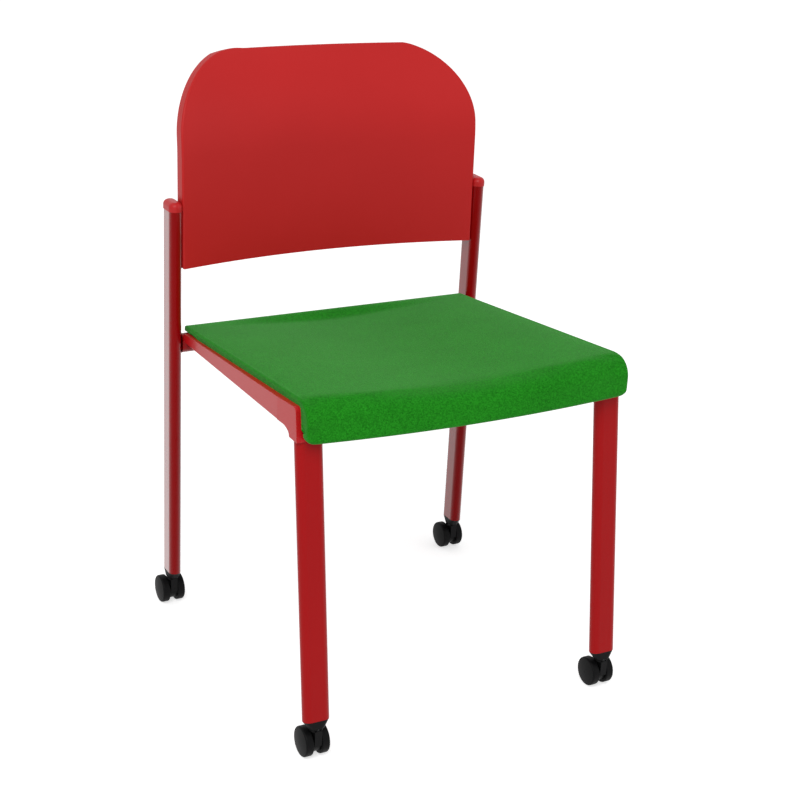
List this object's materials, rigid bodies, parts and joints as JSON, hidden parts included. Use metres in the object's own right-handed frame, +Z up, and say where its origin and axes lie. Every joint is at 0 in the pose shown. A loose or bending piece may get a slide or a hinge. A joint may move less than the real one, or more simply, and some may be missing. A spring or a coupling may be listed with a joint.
{
  "type": "nesting chair",
  "caption": "Armless chair with a curved backrest shell, a padded seat that rolls over at the front, flat-oval tube legs and small twin-wheel castors.",
  "frame": {"origin": "on the floor under the middle of the chair's outline", "axes": "+Z up, -Y to the front of the chair, +X to the right as seen from the front; left in a name means -X"},
  "size_m": [0.5082, 0.5352, 0.7965],
  "materials": {
    "frame_paint": "red gloss paint on steel tube",
    "rail_paint": "red gloss paint on the cast rails",
    "cap_plastic": "red moulded plastic",
    "shell_plastic": "red satin moulded plastic",
    "seat_cloth": "green speckled woven cloth over foam",
    "pan_plastic": "black moulded pan",
    "black_plastic": "black moulded plastic",
    "wheel_plastic": "black moulded wheel",
    "steel": "bright steel pin",
    "screw_steel": "dark zinc-plated screw"
  },
  "bodies": {
    "frame": {"back_bracket_left": "frame_paint", "back_bracket_right": "frame_paint", "back_screws": "screw_steel", "back_shell": "shell_plastic", "castor_stem_front_left": "steel", "castor_stem_front_right": "steel", "castor_stem_rear_left": "steel", "castor_stem_rear_right": "steel", "front_cross_tube": "frame_paint", "front_leg_left": "frame_paint", "front_leg_right": "frame_paint", "leg_plug_front_left": "black_plastic", "leg_plug_front_right": "black_plastic", "leg_plug_rear_left": "black_plastic", "leg_plug_rear_right": "black_plastic", "rear_cross_tube": "frame_paint", "rear_upright_left": "frame_paint", "rear_upright_right": "frame_paint", "seat_pad": "seat_cloth", "seat_pan": "pan_plastic", "seat_screws": "screw_steel", "side_rail_left": "rail_paint", "side_rail_right": "rail_paint", "upright_cap_left": "cap_plastic", "upright_cap_right": "cap_plastic"},
    "castor_front_left": {"castor_hood_front_left": "black_plastic", "castor_axle_front_left": "steel"},
    "castor_front_left_wheel_left": {"castor_front_left_wheel_left": "wheel_plastic"},
    "castor_front_left_wheel_right": {"castor_front_left_wheel_right": "wheel_plastic"},
    "castor_front_right": {"castor_hood_front_right": "black_plastic", "castor_axle_front_right": "steel"},
    "castor_front_right_wheel_left": {"castor_front_right_wheel_left": "wheel_plastic"},
    "castor_front_right_wheel_right": {"castor_front_right_wheel_right": "wheel_plastic"},
    "castor_rear_left": {"castor_hood_rear_left": "black_plastic", "castor_axle_rear_left": "steel"},
    "castor_rear_left_wheel_left": {"castor_rear_left_wheel_left": "wheel_plastic"},
    "castor_rear_left_wheel_right": {"castor_rear_left_wheel_right": "wheel_plastic"},
    "castor_rear_right": {"castor_hood_rear_right": "black_plastic", "castor_axle_rear_right": "steel"},
    "castor_rear_right_wheel_left": {"castor_rear_right_wheel_left": "wheel_plastic"},
    "castor_rear_right_wheel_right": {"castor_rear_right_wheel_right": "wheel_plastic"}
  },
  "joints": [
    {"name": "swivel_front_left", "type": "hinge", "parent": "frame", "child": "castor_front_left", "pos_m": [-0.216, -0.2576, 0.035], "axis": [0, 0, 1], "continuous": true},
    {"name": "roll_front_left_left", "type": "hinge", "parent": "castor_front_left", "child": "castor_front_left_wheel_left", "pos_m": [-0.216, -0.2476, 0.02], "axis": [1, 0, 0], "continuous": true},
    {"name": "roll_front_left_right", "type": "hinge", "parent": "castor_front_left", "child": "castor_front_left_wheel_right", "pos_m": [-0.216, -0.2476, 0.02], "axis": [1, 0, 0], "continuous": true},
    {"name": "swivel_front_right", "type": "hinge", "parent": "frame", "child": "castor_front_right", "pos_m": [0.216, -0.2576, 0.035], "axis": [0, 0, 1], "continuous": true},
    {"name": "roll_front_right_left", "type": "hinge", "parent": "castor_front_right", "child": "castor_front_right_wheel_left", "pos_m": [0.216, -0.2476, 0.02], "axis": [1, 0, 0], "continuous": true},
    {"name": "roll_front_right_right", "type": "hinge", "parent": "castor_front_right", "child": "castor_front_right_wheel_right", "pos_m": [0.216, -0.2476, 0.02], "axis": [1, 0, 0], "continuous": true},
    {"name": "swivel_rear_left", "type": "hinge", "parent": "frame", "child": "castor_rear_left", "pos_m": [-0.2357, 0.1904, 0.035], "axis": [0, 0, 1], "continuous": true},
    {"name": "roll_rear_left_left", "type": "hinge", "parent": "castor_rear_left", "child": "castor_rear_left_wheel_left", "pos_m": [-0.2357, 0.2004, 0.02], "axis": [1, 0, 0], "continuous": true},
    {"name": "roll_rear_left_right", "type": "hinge", "parent": "castor_rear_left", "child": "castor_rear_left_wheel_right", "pos_m": [-0.2357, 0.2004, 0.02], "axis": [1, 0, 0], "continuous": true},
    {"name": "swivel_rear_right", "type": "hinge", "parent": "frame", "child": "castor_rear_right", "pos_m": [0.2357, 0.1904, 0.035], "axis": [0, 0, 1], "continuous": true},
    {"name": "roll_rear_right_left", "type": "hinge", "parent": "castor_rear_right", "child": "castor_rear_right_wheel_left", "pos_m": [0.2357, 0.2004, 0.02], "axis": [1, 0, 0], "continuous": true},
    {"name": "roll_rear_right_right", "type": "hinge", "parent": "castor_rear_right", "child": "castor_rear_right_wheel_right", "pos_m": [0.2357, 0.2004, 0.02], "axis": [1, 0, 0], "continuous": true}
  ]
}
